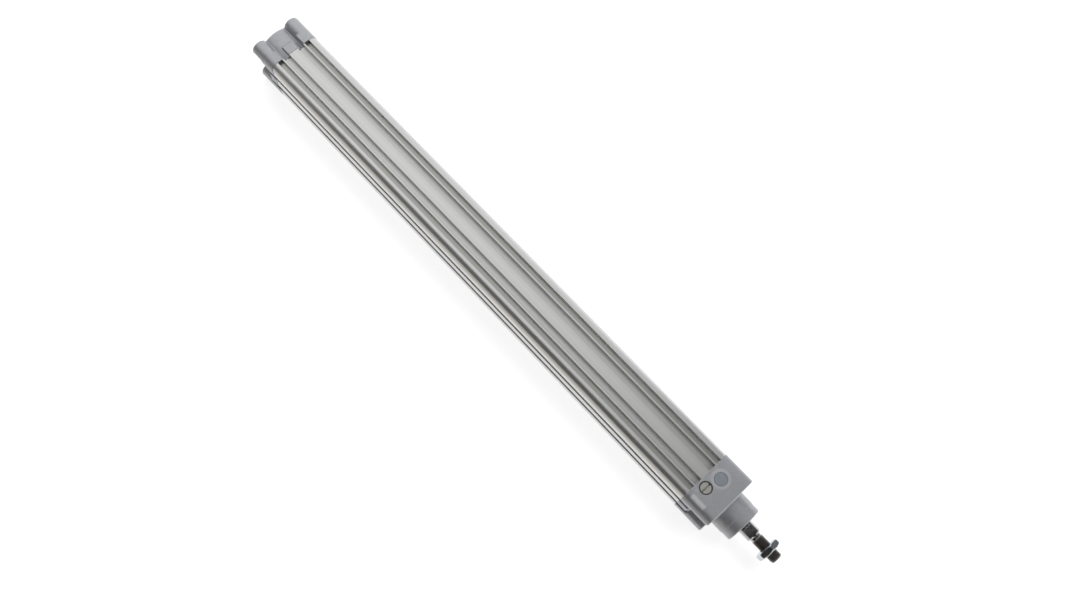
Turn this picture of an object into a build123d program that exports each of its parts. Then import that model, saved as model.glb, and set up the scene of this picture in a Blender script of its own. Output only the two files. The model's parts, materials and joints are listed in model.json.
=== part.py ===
from build123d import *
import os

# A double-acting cylinder with a profile barrel, two cast caps and cushioning at both ends.
# All sizes are in millimetres. The rod's axis is X and points out of the bearing cap, whose
# front face lies at x = 0. +Z is the side with the bearing cap's port.
# The end cap's port is on +Y.

# The whole
bore_radius = 16.0
stroke = 425.0
cap_width = 46.0
cap_length = 26.0
corner_radius = 6.75  # round each cap screw
bolt_square = cap_width - 2 * corner_radius  # between the axes of the cap screws
rod_radius = 6.0
rod_reach = 26.0  # from the front face to the rod's shoulder when the rod is fully in
rod_out = 2.8  # how far the rod is drawn out of that place

# Clearances
running_gap = 0.03  # round the rod in its bush
slide_gap = 0.05  # round the seals, spears and other pieces that slide
seat_gap = 0.02  # between fixed pieces that fit in each other
play = 0.1  # beside rings in their grooves, and round screws

# Barrel profile
cap_step = 0.3  # how far the caps stand above the barrel
tube_wall = 4.0  # of the caps' hubs, round the bore
channel_wall = 2.5  # between the bore and the channels' flat floors
rib_half_width = 4.4
slot_mouth = 4.4
slot_centre = bolt_square / 2 - 2.5
channel_end = slot_centre - slot_mouth / 2 - 1.35  # from the middle of a side to its channel's outer wall
slot_width = 5.5
slot_lip = 1.2
slot_depth = 3.2
barrel_thread_radius = 2.75
edge_round = 0.2

# Cap castings
spigot_length = 10.0
tab_length = 10.2  # stretch beside the barrel where the sides are filled to full height
tab_channel_end = channel_end + 0.7
tab_rise = cap_width / 2 - bore_radius - tube_wall
web_width = 9.0  # of the webs that join the corners to the hub
tab_chamfer = tab_rise * 2 / 3
root_round = 1.0
cap_edge = 0.5
pad_height = 0.3
boss_radius = 7.5
pad_start = cap_length - 16.0  # along the cap, from its outer face
pad_end = cap_length - 3.3
pad_flat = 15.5  # across the cap, from its middle
pad_slope = 3.8
pad_drop = 1.1
step_height = 0.15  # of the slightly raised area round the pad
step_start = 7.3
step_setback = 1.7
step_reach = 15.0

# Neck and centring collar of the bearing cap, and recess of the end cap
neck_radius = 15.4
neck_length = 10.8
neck_round = 1.5
collar_radius = 15.0
collar_length = 7.35
collar_chamfer = 0.5
recess_depth = 4.0

# Ports
port_from_face = cap_length - 9.6
port_offset = 5.8
port_radius = 4.3
port_thread = 7.5
port_passage_radius = 2.5
plug_rim = 0.7  # width of the ledge that the plug lies on
plug_height = 2.3
plug_skin = 1.0
plug_wall = 1.2
plug_chamfer = 0.3

# Cushion screws, as depths below the pad
cushion_from_face = cap_length - 6.6
screw_wall = 0.85  # between the cap screws' heads and the cushion screw's stem
retainer_radius = 5.0
retainer_height = 1.9
retainer_depth = 0.1
cushion_head_radius = 4.0
cushion_head_depth = 0.3
cushion_collar_width = 0.7
cushion_travel = 1.4
cushion_collar_height = 1.5
stem_length = 4.0
stem_radius = 3.9
cushion_seal_cord = 0.85  # radius of the cord of the screw's O-ring
cushion_thread_radius = 2.4
cushion_thread_length = 3.1
needle_chamber = 5.0
needle_radius = 1.1
needle_length = 2.0
bypass_radius = 1.0
screw_slot_width = 1.4
screw_slot_depth = 1.5

# Cap screws
head_radius = 5.0
head_length = cap_length - 8.0
inner_thread_radius = 2.5
inner_thread_depth = head_length - 2.0
hex_socket = 4.0  # across flats
hex_socket_depth = 1.4
shank_radius = 2.9
barrel_thread_length = 16.0

# Seals in and round the cap
barrel_seal_cord = 1.05
barrel_seal_groove = 2.8
barrel_seal_place = 3.0  # from the joint with the barrel
barrel_seal_depth = 2.15
cushion_seal_width = 2.8
cushion_seal_section = 1.6
cushion_seal_place = 1.6  # from the spigot's face

# Rod guide
bush_wall = 1.0
bush_front = 8.0  # the bush's front end, ahead of the front face
rod_hole_gap = 0.5
wiper_section = 3.0
wiper_length = 7.0
wiper_lip = 1.2

# Piston
spigot_radius = 5.0
land = 1.3
guide_width = 5.4
guide_wall = 1.5
guide_split = 1.0
seal_width = 3.8
seal_section = 3.9
seal_notch = 1.8
magnet_length = 4.0
magnet_section = 3.5
magnet_cover = 1.4
bumper_out = 0.45
bumper_seat = 1.2
bumper_section = 2.9
bumper_edge = 2.6  # from the bore to the bumper
piston_gap = 0.2
spear_wall = 3.0
spear_length = 17.0
spear_lead = 1.5
spear_lead_depth = 0.4
piston_nut_flats = 13.0
piston_nut_height = 5.0
tip_out = 1.0
tip_chamfer = 0.5
cavity_gap = 0.5
cavity_end_gap = 1.0

# Rod end
rod_thread_radius = 4.9
rod_thread_length = 22.0
rod_tip_chamfer = 1.0
shoulder_chamfer = 0.8
undercut_radius = 4.2
undercut_length = 2.0
wrench_flats = 10.0
wrench_length = 8.3
wrench_turn = 14.0  # degrees of the flats, from +Z towards -Y
rod_nut_flats = 17.0
rod_nut_height = 5.0
rod_nut_place = 10.5  # from the rod's shoulder
rod_nut_turn = 25.5
nut_chamfer = 0.4

# Places along the axis, from the sizes above
guide_groove = guide_width + play
seal_groove = seal_width + 2 * play
half_body = guide_groove / 2 + land + seal_groove + land + bumper_seat
piston_length = 2 * (half_body + bumper_out)
barrel_length = stroke + piston_length + 2 * spigot_length
barrel_front = -cap_length
barrel_back = barrel_front - barrel_length
rear_face = barrel_back - cap_length
piston_middle = barrel_back + spigot_length + rod_out + piston_length / 2
spear_end = half_body + spear_length
rod_shoulder = rod_reach + rod_out
rod_tip = rod_shoulder + rod_thread_length
neck_end = neck_length + collar_length

# Places and sizes inside the caps, in the cap's own frame: its outer face on XY,
# +Z towards the barrel and +Y the port side
cap_top = cap_width / 2 + pad_height
cushion_offset = bolt_square / 2 - head_radius - stem_radius - screw_wall
hub_radius = bore_radius + tube_wall
spigot_face = cap_length + spigot_length
spear_radius = spigot_radius + spear_wall
cavity_radius = spear_radius + cavity_gap
cavity_depth = spear_length + piston_nut_height + tip_out + cavity_end_gap + bumper_out
cavity_end = spigot_face - cavity_depth
bush_radius = rod_radius + bush_wall
wiper_radius = rod_radius + wiper_section
screw_bore = retainer_radius + seat_gap
collar_top = retainer_depth + retainer_height + cushion_travel
collar_floor = collar_top + cushion_collar_height
stem_floor = collar_floor + stem_length
chamber_floor = stem_floor + needle_chamber
stem_bore = stem_radius + play
plug_radius = port_radius + plug_rim
plug_floor = plug_height + play
port_floor = plug_floor + port_thread
bypass_depth = stem_floor + cushion_thread_length + 1.0

front_frame = Plane(origin=(0, 0, 0), x_dir=(0, -1, 0), z_dir=(-1, 0, 0))
rear_frame = Plane(origin=(rear_face, 0, 0), x_dir=(0, 0, -1), z_dir=(1, 0, 0))

# On the port side, with the depth below the pad as the plane's offset
port_plane = Plane(origin=(-port_offset, cap_top, port_from_face), x_dir=(1, 0, 0), z_dir=(0, 1, 0))
cushion_plane = Plane(
    origin=(cushion_offset, cap_top, cushion_from_face), x_dir=(1, 0, 0), z_dir=(0, 1, 0)
)


# Proportions of a hexagon
cos_30 = 3**0.5 / 2
tan_30 = 1 / 3**0.5


def keep(piece, name, frame=Plane.XY):
    """Write one finished piece, set in its frame, to a STEP file of its own."""
    placed = piece.moved(frame.location)
    placed.label = name
    export_step(placed, f"parts/{name}.step")


def ribbed_square(width, wall_place, channel_sides):
    """A rounded square whose sides, at the given angles, have a rib between two channels."""
    channel = wall_place - rib_half_width
    middle = rib_half_width + channel / 2
    with BuildSketch() as outline:
        RectangleRounded(width, width, (width - bolt_square) / 2)
        for angle in channel_sides:
            with Locations(Location((0, 0, 0), (0, 0, angle))):
                with Locations((width / 4, middle), (width / 4, -middle)):
                    Rectangle(width / 2, channel, mode=Mode.SUBTRACT)
    return outline.sketch


def ring(start, end, inner, outer):
    """A plain ring round X between two places along it."""
    with BuildPart() as piece:
        with BuildSketch(Plane.YZ.offset(min(start, end))):
            Circle(outer)
            Circle(inner, mode=Mode.SUBTRACT)
        extrude(amount=abs(end - start))
    return piece.part


def o_ring(radius, cord, plane):
    """A sealing ring of hexagonal cord that lies in a plane, with the middle of its cord at a radius."""
    with BuildPart() as piece:
        with BuildSketch(Plane(origin=plane.origin, x_dir=plane.x_dir, z_dir=plane.y_dir)):
            with Locations((radius, 0)):
                RegularPolygon(cord, 6)
        revolve(axis=Axis(plane.origin, plane.z_dir))
    return piece.part


def hex_nut(start, height, flats, bore, turn):
    """A hexagon nut round X with both faces chamfered."""
    corner = flats / 2 / cos_30
    face_radius = flats / 2 - nut_chamfer / 2
    bevel = (corner - face_radius) * tan_30
    with BuildPart() as piece:
        with BuildSketch(Plane.YZ.offset(start)):
            RegularPolygon(flats / 2, 6, major_radius=False, rotation=turn)
            Circle(bore, mode=Mode.SUBTRACT)
        extrude(amount=height)
        with BuildSketch(Plane.XZ):
            with BuildLine():
                Polyline(
                    (start, 0),
                    (start, face_radius),
                    (start + bevel, corner),
                    (start + height - bevel, corner),
                    (start + height, face_radius),
                    (start + height, 0),
                    close=True,
                )
            make_face()
        revolve(axis=Axis.X, mode=Mode.INTERSECT)
    return piece.part


def cap_casting():
    """What both caps have in common, in the cap's own frame."""
    with BuildPart() as cap:
        with BuildSketch() as core:
            Circle(hub_radius)
            with GridLocations(bolt_square, bolt_square, 2, 2):
                Circle(corner_radius)
            with PolarLocations(0, 2, start_angle=45, angular_range=180):
                Rectangle(bolt_square * 2**0.5, web_width)
            roots = core.vertices().filter_by(
                lambda v: abs(abs(v.X) - abs(v.Y)) > 1 and min(abs(v.X), abs(v.Y)) > 1
            )
            fillet(roots, root_round)
            with Locations((0, cap_width / 4)):
                Rectangle(bolt_square, cap_width / 2)
        extrude(amount=cap_length)
        chamfer(cap.faces().sort_by(Axis.Z)[0].edges(), cap_edge)
        # the stretch beside the barrel repeats the profile's ribs on the three plain sides
        with BuildSketch(Plane.XY.offset(cap_length - tab_length)):
            add(ribbed_square(cap_width, tab_channel_end, (0, 180, 270)))
        extrude(amount=tab_length)
        tab_fronts = cap.edges().filter_by(
            lambda e: abs(e.center().Z - cap_length + tab_length) < 0.01
            and min(abs(e.center().X), abs(e.center().Y)) < 0.01
            and (max(abs(e.center().X), -e.center().Y) > cap_width / 2 - 0.01)
        )
        chamfer(tab_fronts, tab_chamfer)
        # port boss, and the raised pad that runs from it over the corner
        with BuildSketch(port_plane):
            Circle(boss_radius)
        extrude(amount=-pad_height - 1)
        with BuildSketch(Plane.XY.offset(pad_start)):
            with BuildLine():
                Polyline(
                    (-port_offset, cap_top - pad_drop),
                    (-port_offset, cap_top),
                    (pad_flat, cap_top),
                    (pad_flat + pad_slope, cap_top - pad_drop),
                    close=True,
                )
            make_face()
        extrude(amount=pad_end - pad_start)
        # the area round the pad stands a little above the rest of the top
        with BuildSketch(Plane(origin=(0, cap_width / 2 + step_height, 0), x_dir=(1, 0, 0), z_dir=(0, 1, 0))):
            with BuildLine():
                Polyline(
                    (-step_reach, -cap_length),
                    (-step_reach, -step_start),
                    (-step_setback, -step_start),
                    (step_setback, -step_start - step_setback),
                    (step_reach, -step_start - step_setback),
                    (step_reach, -cap_length),
                    close=True,
                )
            make_face()
        extrude(amount=-step_height - 1)
        # spigot with its O-ring groove
        with BuildSketch(Plane.XY.offset(cap_length)):
            Circle(bore_radius - slide_gap)
        extrude(amount=spigot_length)
        with BuildSketch(Plane.XY.offset(cap_length + barrel_seal_place)):
            Circle(bore_radius)
            Circle(bore_radius - barrel_seal_depth, mode=Mode.SUBTRACT)
        extrude(amount=barrel_seal_groove, mode=Mode.SUBTRACT)
        # cavity for the cushion spear, and the groove for its seal at the mouth
        with BuildSketch(Plane.XY.offset(cavity_end)):
            Circle(cavity_radius)
        extrude(amount=cavity_depth, mode=Mode.SUBTRACT)
        with BuildSketch(Plane.XY.offset(spigot_face - cushion_seal_place)):
            Circle(cavity_radius + cushion_seal_section)
        extrude(amount=-cushion_seal_width - 2 * play, mode=Mode.SUBTRACT)
        # cap screw holes, wide for the heads and narrow for the shanks
        with BuildSketch():
            with GridLocations(bolt_square, bolt_square, 2, 2):
                Circle(head_radius + play)
        extrude(amount=head_length, mode=Mode.SUBTRACT)
        with BuildSketch():
            with GridLocations(bolt_square, bolt_square, 2, 2):
                Circle(shank_radius + play)
        extrude(amount=cap_length, mode=Mode.SUBTRACT)
        # port: a ledge for the plug, the thread's bore and a passage into the cavity
        for radius, depth in (
            (plug_radius + slide_gap, plug_floor),
            (port_radius, port_floor),
            (port_passage_radius, cap_top - cavity_radius / 2),
        ):
            with BuildSketch(port_plane):
                Circle(radius)
            extrude(amount=-depth, mode=Mode.SUBTRACT)
        # cushion screw: collar bore, stem bore, needle chamber and the hole that the needle throttles
        for radius, depth in (
            (screw_bore, collar_floor),
            (stem_bore, stem_floor),
            (cushion_thread_radius + play, chamber_floor),
            (needle_radius + play, cap_top - cavity_radius / 2),
        ):
            with BuildSketch(cushion_plane):
                Circle(radius)
            extrude(amount=-depth, mode=Mode.SUBTRACT)
        with BuildSketch(Plane.XY.offset(spigot_face)):
            with Locations((cushion_offset, cap_top - bypass_depth)):
                Circle(bypass_radius)
        extrude(amount=cushion_from_face - spigot_face, mode=Mode.SUBTRACT)
    return cap.part


def cap_screw_set():
    """Four collar screws in the cap's frame, each with an inner thread and a hexagon at its floor."""
    with BuildPart() as screws:
        with BuildSketch():
            with GridLocations(bolt_square, bolt_square, 2, 2):
                Circle(head_radius)
        extrude(amount=head_length)
        with BuildSketch():
            with GridLocations(bolt_square, bolt_square, 2, 2):
                Circle(inner_thread_radius)
        extrude(amount=inner_thread_depth, mode=Mode.SUBTRACT)
        with BuildSketch(Plane.XY.offset(inner_thread_depth)):
            with GridLocations(bolt_square, bolt_square, 2, 2):
                RegularPolygon(hex_socket / 2, 6, major_radius=False)
        extrude(amount=hex_socket_depth, mode=Mode.SUBTRACT)
        with BuildSketch(Plane.XY.offset(head_length)):
            with GridLocations(bolt_square, bolt_square, 2, 2):
                Circle(shank_radius)
        extrude(amount=cap_length - head_length)
        with BuildSketch(Plane.XY.offset(cap_length)):
            with GridLocations(bolt_square, bolt_square, 2, 2):
                Circle(barrel_thread_radius - seat_gap)
        extrude(amount=barrel_thread_length)
    return screws.part


def cushion_seal():
    """The lip seal in the cavity's mouth, which closes on the spear."""
    back = spigot_face - cushion_seal_place - play - cushion_seal_width
    inner = spear_radius + slide_gap
    outer = cavity_radius + cushion_seal_section - seat_gap
    with BuildPart() as seal:
        with BuildSketch(Plane.XZ):
            with BuildLine():
                Polyline(
                    (outer, back),
                    (outer, back + cushion_seal_width),
                    (inner, back + cushion_seal_width),
                    (inner, back + cushion_seal_width / 2),
                    (cavity_radius, back),
                    close=True,
                )
            make_face()
        revolve(axis=Axis.Z)
    return seal.part


def cushion_screw():
    """The cushion adjusting screw: slotted head, collar, stem with its groove, thread and needle."""
    groove_middle = (collar_floor + stem_floor) / 2
    groove_half = cushion_seal_cord + play
    thread_end = stem_floor + cushion_thread_length
    stack = (
        (cushion_head_depth, collar_top, cushion_head_radius),
        (collar_top, collar_floor, cushion_head_radius + cushion_collar_width),
        (collar_floor, groove_middle - groove_half, stem_radius),
        (groove_middle - groove_half, groove_middle + groove_half, stem_radius - 2 * cushion_seal_cord),
        (groove_middle + groove_half, stem_floor, stem_radius),
        (stem_floor, thread_end, cushion_thread_radius),
    )
    with BuildPart() as screw:
        for top, floor, radius in stack:
            with BuildSketch(cushion_plane.offset(-top)):
                Circle(radius)
            extrude(amount=top - floor)
        with BuildSketch(cushion_plane.offset(-thread_end)):
            Circle(cushion_thread_radius - cushion_head_depth)
        with BuildSketch(cushion_plane.offset(-chamber_floor)):
            Circle(needle_radius)
        loft()
        with BuildSketch(cushion_plane.offset(-chamber_floor)):
            Circle(needle_radius)
        extrude(amount=-needle_length, taper=10)
        with BuildSketch(cushion_plane.offset(-cushion_head_depth)):
            Rectangle(2 * cushion_head_radius, screw_slot_width)
        extrude(amount=-screw_slot_depth, mode=Mode.SUBTRACT)
    return screw.part


def screw_retainer():
    """The ring over the cushion screw's collar, which keeps the screw from coming out."""
    with BuildPart() as retainer:
        with BuildSketch(cushion_plane.offset(-retainer_depth)):
            Circle(retainer_radius)
            Circle(cushion_head_radius + slide_gap, mode=Mode.SUBTRACT)
        extrude(amount=-retainer_height)
    return retainer.part


def port_plug():
    """The transport plug: a shallow cup that lies on the ledge of the port."""
    with BuildPart() as plug:
        with BuildSketch(port_plane):
            Circle(plug_radius)
        extrude(amount=-plug_height)
        chamfer(plug.faces().sort_by(Axis.Y)[-1].edges(), plug_chamfer)
        with BuildSketch(port_plane.offset(-plug_height)):
            Circle(plug_radius - plug_wall)
        extrude(amount=plug_height - plug_skin, mode=Mode.SUBTRACT)
    return plug.part


def piston_half(side):
    """One half of the piston, towards the rod for side 1 and away from it for side -1."""
    bore_side = spigot_radius + seat_gap
    outside = bore_radius - piston_gap
    guide_floor = bore_radius - slide_gap - guide_wall - play
    magnet_outer = guide_floor - magnet_cover
    magnet_inner = magnet_outer - magnet_section
    pocket = magnet_length / 2
    groove_start = guide_groove / 2 + land
    seal_floor = bore_radius - slide_gap - seal_section - slide_gap
    bumper_outer = bore_radius - bumper_edge + slide_gap
    bumper_inner = bore_radius - bumper_edge - bumper_section - slide_gap
    section = [
        (0, bore_side),
        (0, magnet_inner),
        (pocket, magnet_inner),
        (pocket, magnet_outer),
        (0, magnet_outer),
        (0, guide_floor),
        (guide_groove / 2, guide_floor),
        (guide_groove / 2, outside),
        (groove_start, outside),
        (groove_start, seal_floor),
        (groove_start + seal_groove, seal_floor),
        (groove_start + seal_groove, outside),
        (half_body, outside),
        (half_body, bumper_outer),
        (half_body - bumper_seat, bumper_outer),
        (half_body - bumper_seat, bumper_inner),
        (half_body, bumper_inner),
        (half_body, bore_side),
    ]
    with BuildPart() as half:
        with BuildSketch(Plane.XZ):
            with BuildLine():
                Polyline([(piston_middle + side * x, r) for x, r in section], close=True)
            make_face()
        revolve(axis=Axis.X)
    return half.part


def piston_seal(side):
    """A lip seal in one half of the piston, its notch towards the pressure on that side."""
    start = guide_groove / 2 + land + play
    end = start + seal_width
    outer = bore_radius - slide_gap
    inner = outer - seal_section
    middle = (inner + outer) / 2
    section = [
        (start, inner),
        (start, outer - seal_section / 4),
        (end, outer),
        (end, middle + seal_section / 5),
        (end - seal_notch, middle),
        (end, middle - seal_section / 5),
        (end, inner),
    ]
    with BuildPart() as seal:
        with BuildSketch(Plane.XZ):
            with BuildLine():
                Polyline([(piston_middle + side * x, r) for x, r in section], close=True)
            make_face()
        revolve(axis=Axis.X)
    return seal.part


def cushion_spear(side):
    """A sleeve beside the piston that enters the cap's cavity at the end of the stroke."""
    inner = spigot_radius + seat_gap
    section = [
        (half_body, inner),
        (half_body, spear_radius),
        (spear_end - spear_lead, spear_radius),
        (spear_end, spear_radius - spear_lead_depth),
        (spear_end, inner),
    ]
    with BuildPart() as spear:
        with BuildSketch(Plane.XZ):
            with BuildLine():
                Polyline([(piston_middle + side * x, r) for x, r in section], close=True)
            make_face()
        revolve(axis=Axis.X)
    return spear.part


# Barrel: ribs and channels on all sides, and two sensor slots each on +Z and -Z
barrel_width = cap_width - 2 * cap_step
channel_floor = bore_radius + channel_wall
with BuildPart() as barrel_profile:
    with BuildSketch(Plane.YZ.offset(barrel_back)) as profile:
        add(ribbed_square(barrel_width, channel_end, (0, 90, 180, 270)))
        Rectangle(2 * channel_floor, 2 * channel_floor)
        for side in (1, -1):
            for place in (slot_centre, -slot_centre):
                with Locations((place, side * (barrel_width - slot_lip) / 2)):
                    Rectangle(slot_mouth, slot_lip, mode=Mode.SUBTRACT)
                with Locations((place, side * (barrel_width - slot_lip - slot_depth) / 2)):
                    Rectangle(slot_width, slot_depth - slot_lip, mode=Mode.SUBTRACT)
        rims = profile.vertices().filter_by(
            lambda v: max(abs(v.X), abs(v.Y)) > barrel_width / 2 - 0.01
            and min(abs(v.X), abs(v.Y)) < bolt_square / 2 - 0.01
        )
        fillet(rims, edge_round)
        Circle(bore_radius, mode=Mode.SUBTRACT)
        with GridLocations(bolt_square, bolt_square, 2, 2):
            Circle(barrel_thread_radius, mode=Mode.SUBTRACT)
    extrude(amount=barrel_length)

# Bearing cap: the casting with the neck, the centring collar and the rod's guide
with BuildPart() as bearing_cap:
    add(cap_casting())
    # neck and collar, turned in one with the round at the neck's root
    with BuildSketch(Plane.XZ):
        with BuildLine():
            root = RadiusArc((neck_radius + neck_round, 0), (neck_radius, -neck_round), -neck_round)
            Polyline(
                root @ 1,
                (neck_radius, -neck_length),
                (collar_radius, -neck_length),
                (collar_radius, collar_chamfer - neck_end),
                (collar_radius - collar_chamfer, -neck_end),
                (0, -neck_end),
                (0, 0),
                root @ 0,
            )
        make_face()
    revolve(axis=Axis.Z)
    with BuildSketch(Plane.XY.offset(-neck_end)):
        Circle(rod_radius + rod_hole_gap)
    extrude(amount=neck_end + cavity_end, mode=Mode.SUBTRACT)
    with BuildSketch(Plane.XY.offset(-bush_front)):
        Circle(bush_radius + seat_gap)
    extrude(amount=bush_front + cavity_end, mode=Mode.SUBTRACT)
    with BuildSketch(Plane.XY.offset(-neck_end)):
        Circle(wiper_radius + seat_gap)
    extrude(amount=wiper_length, mode=Mode.SUBTRACT)

# End cap: the casting with the centring recess
with BuildPart() as end_cap:
    add(cap_casting())
    with BuildSketch():
        Circle(collar_radius)
    extrude(amount=recess_depth, mode=Mode.SUBTRACT)

# Wiper in the neck's mouth, with a lip that points outwards
with BuildPart() as rod_wiper_seal:
    with BuildSketch(Plane.XZ):
        with BuildLine():
            Polyline(
                (neck_end - wiper_length, wiper_radius),
                (neck_end - wiper_lip, wiper_radius),
                (neck_end, rod_radius + wiper_lip),
                (neck_end, rod_radius + slide_gap),
                (neck_end - wiper_length / 2, rod_radius + rod_hole_gap),
                (neck_end - wiper_length, rod_radius + rod_hole_gap),
                close=True,
            )
        make_face()
    revolve(axis=Axis.X)

# Rod: spigot for the piston, shaft, wrench flats, undercut and thread
with BuildPart() as piston_rod:
    with BuildSketch(Plane.XZ):
        with BuildLine():
            rod_back = piston_middle - spear_end - piston_nut_height - tip_out
            Polyline(
                (rod_back, 0),
                (rod_back, spigot_radius - tip_chamfer),
                (rod_back + tip_chamfer, spigot_radius),
                (piston_middle + spear_end, spigot_radius),
                (piston_middle + spear_end, rod_radius),
                (rod_shoulder - shoulder_chamfer, rod_radius),
                (rod_shoulder, rod_radius - shoulder_chamfer),
                (rod_shoulder, undercut_radius),
                (rod_shoulder + undercut_length, undercut_radius),
                (rod_shoulder + undercut_length, rod_thread_radius),
                (rod_tip - rod_tip_chamfer, rod_thread_radius),
                (rod_tip, rod_thread_radius - rod_tip_chamfer),
                (rod_tip, 0),
                close=True,
            )
        make_face()
    revolve(axis=Axis.X)
    with BuildSketch(Plane.YZ.offset(rod_shoulder - wrench_length)):
        with Locations(Location((0, 0, 0), (0, 0, wrench_turn))):
            with Locations((0, wrench_flats), (0, -wrench_flats)):
                Rectangle(2 * wrench_flats, wrench_flats)
    extrude(amount=wrench_length, mode=Mode.SUBTRACT)

# Guide ring round the middle of the piston, split so that it can be snapped in
with BuildPart() as piston_guide_ring:
    guide_start = piston_middle - guide_width / 2
    add(ring(guide_start, guide_start + guide_width, bore_radius - slide_gap - guide_wall, bore_radius - slide_gap))
    with BuildSketch(Plane.YZ.offset(guide_start)):
        with Locations((0, bore_radius)):
            Rectangle(guide_split, 2 * guide_wall + 1)
    extrude(amount=guide_width, mode=Mode.SUBTRACT)

# Ring magnet between the halves of the piston
magnet_outside = bore_radius - slide_gap - guide_wall - play - magnet_cover - seat_gap
piston_magnet = ring(
    piston_middle - magnet_length / 2,
    piston_middle + magnet_length / 2,
    magnet_outside - magnet_section + 2 * seat_gap,
    magnet_outside,
)

os.makedirs("parts", exist_ok=True)
keep(barrel_profile.part, "barrel_profile")
keep(bearing_cap.part, "bearing_cap", front_frame)
keep(end_cap.part, "end_cap", rear_frame)
keep(ring(-cavity_end, bush_front, rod_radius + running_gap, bush_radius), "rod_bearing_bush")
keep(rod_wiper_seal.part, "rod_wiper_seal")
keep(piston_rod.part, "piston_rod")
keep(piston_guide_ring.part, "piston_guide_ring")
keep(piston_magnet, "piston_magnet")
keep(
    hex_nut(
        rod_shoulder + rod_nut_place, rod_nut_height, rod_nut_flats, rod_thread_radius + slide_gap, rod_nut_turn
    ),
    "rod_nut",
)
keep(
    hex_nut(
        piston_middle - spear_end - piston_nut_height,
        piston_nut_height,
        piston_nut_flats,
        spigot_radius + seat_gap,
        0,
    ),
    "piston_nut",
)

# What each cap holds, made twice and set in each cap's frame
barrel_seal_plane = Plane.XY.offset(cap_length + barrel_seal_place + barrel_seal_groove / 2)
screw_seal_plane = cushion_plane.offset(-(collar_floor + stem_floor) / 2)
barrel_seal_radius = bore_radius - slide_gap - barrel_seal_cord
screw_seal_radius = stem_radius + slide_gap - cushion_seal_cord
for end, frame in (("front", front_frame), ("rear", rear_frame)):
    keep(cap_screw_set(), f"{end}_cap_screws", frame)
    keep(o_ring(barrel_seal_radius, barrel_seal_cord, barrel_seal_plane), f"{end}_barrel_seal", frame)
    keep(cushion_seal(), f"{end}_cushion_seal", frame)
    keep(cushion_screw(), f"{end}_cushion_screw", frame)
    keep(o_ring(screw_seal_radius, cushion_seal_cord, screw_seal_plane), f"{end}_screw_seal", frame)
    keep(screw_retainer(), f"{end}_screw_retainer", frame)
    keep(port_plug(), f"{end}_port_plug", frame)

# The pieces that the piston has on both sides
for end, side in (("front", 1), ("rear", -1)):
    keep(piston_half(side), f"piston_{end}_half")
    keep(piston_seal(side), f"piston_seal_{end}")
    keep(cushion_spear(side), f"{end}_cushion_spear")
    keep(
        ring(
            piston_middle + side * (half_body - bumper_seat),
            piston_middle + side * (half_body + bumper_out),
            bore_radius - bumper_edge - bumper_section,
            bore_radius - bumper_edge,
        ),
        f"{end}_bumper",
    )
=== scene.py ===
# %% [markdown]
# # A double-acting cylinder on white
#
# The object is a pneumatic cylinder: a long extruded aluminium barrel between two cast caps, with a
# polished rod that carries a thread and a thin nut. Most of it is metal with a plain shape, so its look
# comes from three things: how each metal is finished, what it mirrors, and small turned details.
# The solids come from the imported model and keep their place. This file dresses them.

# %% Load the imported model
import json
import math

import bpy
import numpy as np
from mathutils import Matrix, Vector


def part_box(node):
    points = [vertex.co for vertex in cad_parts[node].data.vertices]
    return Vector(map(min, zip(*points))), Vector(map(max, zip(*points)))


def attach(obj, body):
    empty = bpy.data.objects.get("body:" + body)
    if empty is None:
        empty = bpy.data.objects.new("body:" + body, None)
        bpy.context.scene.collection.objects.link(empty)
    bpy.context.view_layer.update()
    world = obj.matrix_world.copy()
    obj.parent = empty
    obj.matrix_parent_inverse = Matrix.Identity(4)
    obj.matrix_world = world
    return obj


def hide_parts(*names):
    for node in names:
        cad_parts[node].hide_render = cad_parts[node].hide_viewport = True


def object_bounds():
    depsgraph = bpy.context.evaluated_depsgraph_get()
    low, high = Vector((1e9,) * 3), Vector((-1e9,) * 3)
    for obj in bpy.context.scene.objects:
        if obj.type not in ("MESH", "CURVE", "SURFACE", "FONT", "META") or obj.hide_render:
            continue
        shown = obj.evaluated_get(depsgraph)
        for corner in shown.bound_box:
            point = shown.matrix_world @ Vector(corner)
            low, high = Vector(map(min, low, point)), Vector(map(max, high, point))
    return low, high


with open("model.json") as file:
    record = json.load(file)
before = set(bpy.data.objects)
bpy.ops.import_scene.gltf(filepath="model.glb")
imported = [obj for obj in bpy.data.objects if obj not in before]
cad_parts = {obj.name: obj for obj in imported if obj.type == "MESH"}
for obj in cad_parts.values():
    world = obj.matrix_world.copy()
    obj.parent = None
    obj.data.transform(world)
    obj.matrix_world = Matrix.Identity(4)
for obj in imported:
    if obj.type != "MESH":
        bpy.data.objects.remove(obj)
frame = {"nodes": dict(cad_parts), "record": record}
cad_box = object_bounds()
nodes = frame["nodes"]
print(len(nodes), "nodes from the packed model, box", cad_box)

# %% [markdown]
# ## Seeing it from the right place
#
# A product photograph is only matched by a camera that stands where the real one stood. The place here
# was worked out by fitting a pinhole camera to edges and circles of known size. The picture was turned
# by 45.6 degrees before that fit, so the camera is built level with the barrel and then rolled back.

# %% Camera
level_right = Vector((0.9745475, 0.056476, -0.2169509))
level_down = Vector((0.0035861, -0.9715516, -0.2368005))
looking = Vector((-0.2241524, 0.2299953, -0.9470260))
stand = Vector((-0.037388, -0.172746, 0.728847))
focal_length = 33.652
sensor_width = 36.0
roll = math.radians(45.6)
picture_right = level_right * math.cos(roll) - level_down * math.sin(roll)
picture_down = level_right * math.sin(roll) + level_down * math.cos(roll)

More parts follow.
